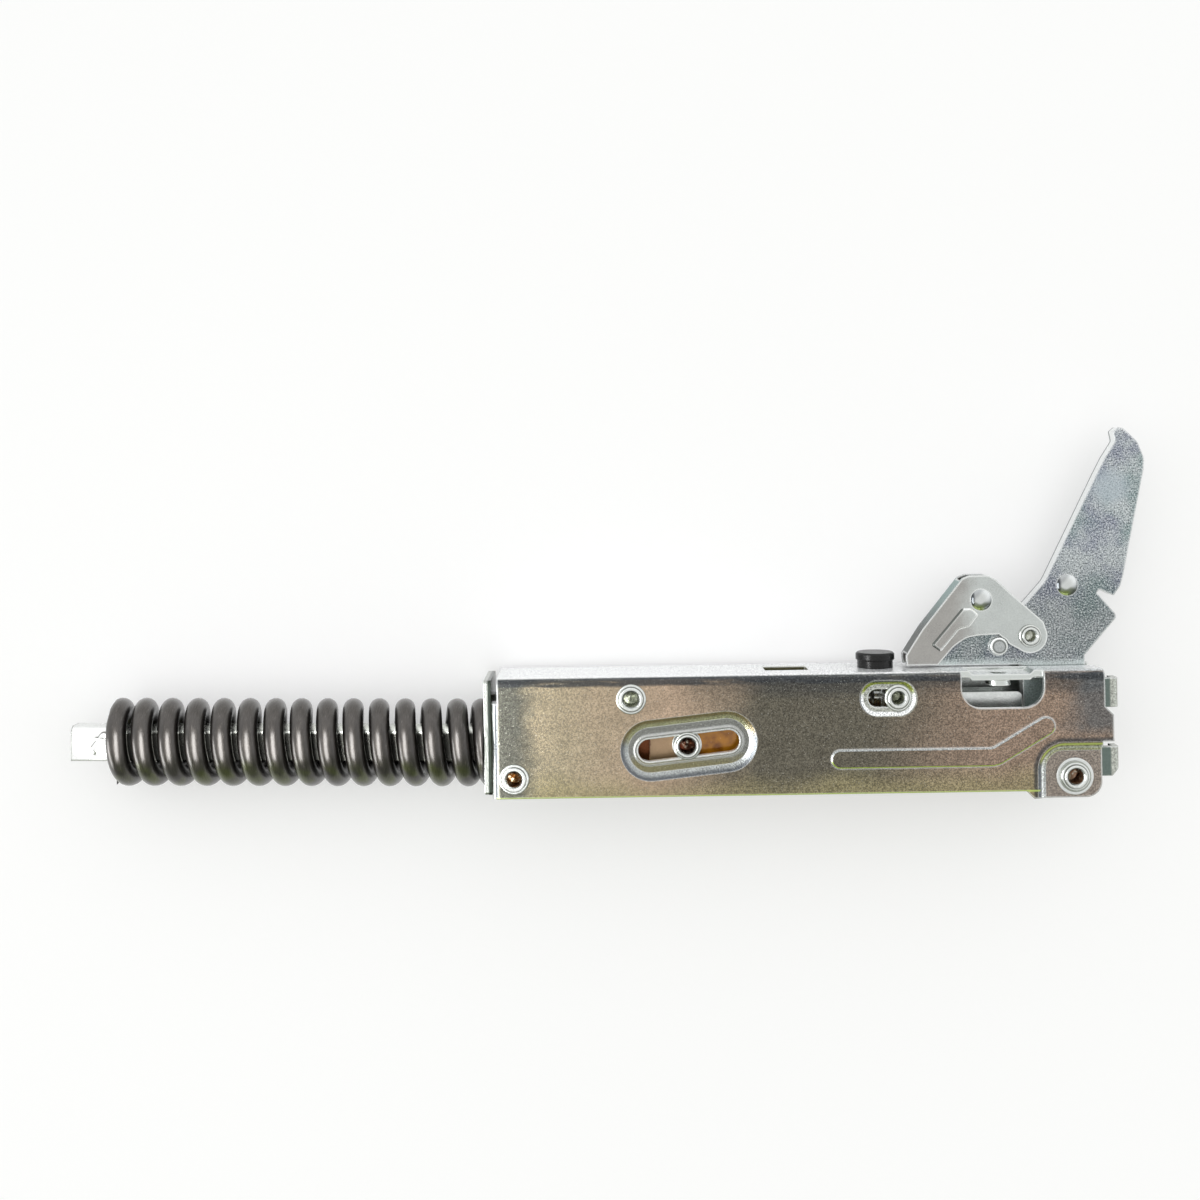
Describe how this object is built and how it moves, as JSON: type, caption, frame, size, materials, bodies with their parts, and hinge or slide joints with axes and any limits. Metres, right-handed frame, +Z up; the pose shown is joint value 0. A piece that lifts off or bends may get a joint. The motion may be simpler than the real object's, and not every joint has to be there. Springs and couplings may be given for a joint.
{
  "type": "oven door hinge",
  "caption": "Oven door hinge: a folded steel channel with a claw arm, a locking lever, a sprung plunger and a long compression spring on a pull rod.",
  "frame": {"origin": "centre of the bounding box, on the plane that the hinge lies on", "axes": "+X along the channel from the spring to the claw, +Y from the channel's open edges to its back, where the claw arm stands up, +Z up, across the channel from the far wall's rivet heads to the near wall's"},
  "size_m": [0.274, 0.0922, 0.024],
  "materials": {
    "housing_zinc": "warm passivated zinc plate with a fine grain",
    "arm_zinc": "bluish zinc plate with a coarse speckle",
    "lever_zinc": "smooth light zinc plate",
    "bright_steel": "bright zinc plate",
    "rivet_steel": "bright plated tubular rivet",
    "spring_black": "glossy dark oil-hardened coating",
    "rubber_black": "satin"
  },
  "bodies": {
    "housing": {"housing": "housing_zinc", "front_bracket_near": "bright_steel", "front_bracket_far": "bright_steel", "spring_seat_plate": "bright_steel", "tie_rivets": "rivet_steel", "tie_spacers": "bright_steel", "main_pivot_rivet": "rivet_steel", "main_pivot_washers": "bright_steel", "pivot_bushes": "bright_steel", "bumper": "rubber_black", "main_spring": "spring_black", "plunger_spring": "spring_black"},
    "pull_rod": {"pull_rod": "bright_steel", "slider_rivet": "rivet_steel", "slider_washers": "bright_steel"},
    "drag_links": {"drag_link_near": "lever_zinc", "drag_link_far": "lever_zinc"},
    "claw_arm": {"claw_arm": "arm_zinc", "crank_pin": "bright_steel", "lever_rivet": "rivet_steel", "lever_stop_pin": "bright_steel"},
    "lock_lever": {"lock_lever": "lever_zinc"},
    "plunger": {"plunger": "bright_steel", "plunger_rivet": "rivet_steel", "plunger_spacers": "bright_steel"}
  },
  "joints": [
    {"name": "arm_swing", "type": "hinge", "parent": "housing", "child": "claw_arm", "pos_m": [0.1155, -0.04073, 0.012], "axis": [0, 0, -1], "range_deg": [0, 85], "stiffness_Nm_per_rad": 6, "springref_deg": -11.46},
    {"name": "rod_slide", "type": "slide", "parent": "housing", "child": "pull_rod", "axis": [0.9945, 0.1045, 0], "range_m": [0, 0.0102], "deforming": ["main_spring"]},
    {"name": "link_rock", "type": "hinge", "parent": "pull_rod", "child": "drag_links", "pos_m": [0.01911, -0.03177, 0.012], "axis": [0, 0, 1], "range_deg": [0, 3.75]},
    {"name": "plunger_slide", "type": "slide", "parent": "housing", "child": "plunger", "axis": [-1, 0, 0], "range_m": [0, 0.005], "stiffness_N_per_m": 1500, "springref_m": -0.004, "deforming": ["plunger_spring"]},
    {"name": "lever_flip", "type": "hinge", "parent": "claw_arm", "child": "lock_lever", "pos_m": [0.10695, -0.00653, 0.012], "axis": [0, 0, -1], "range_deg": [0, 56]}
  ],
  "couplings": [
    {"joint": "rod_slide", "follows": "arm_swing", "m_per_rad": 0.0068748},
    {"joint": "link_rock", "follows": "arm_swing", "ratio": 0.044113}
  ]
}
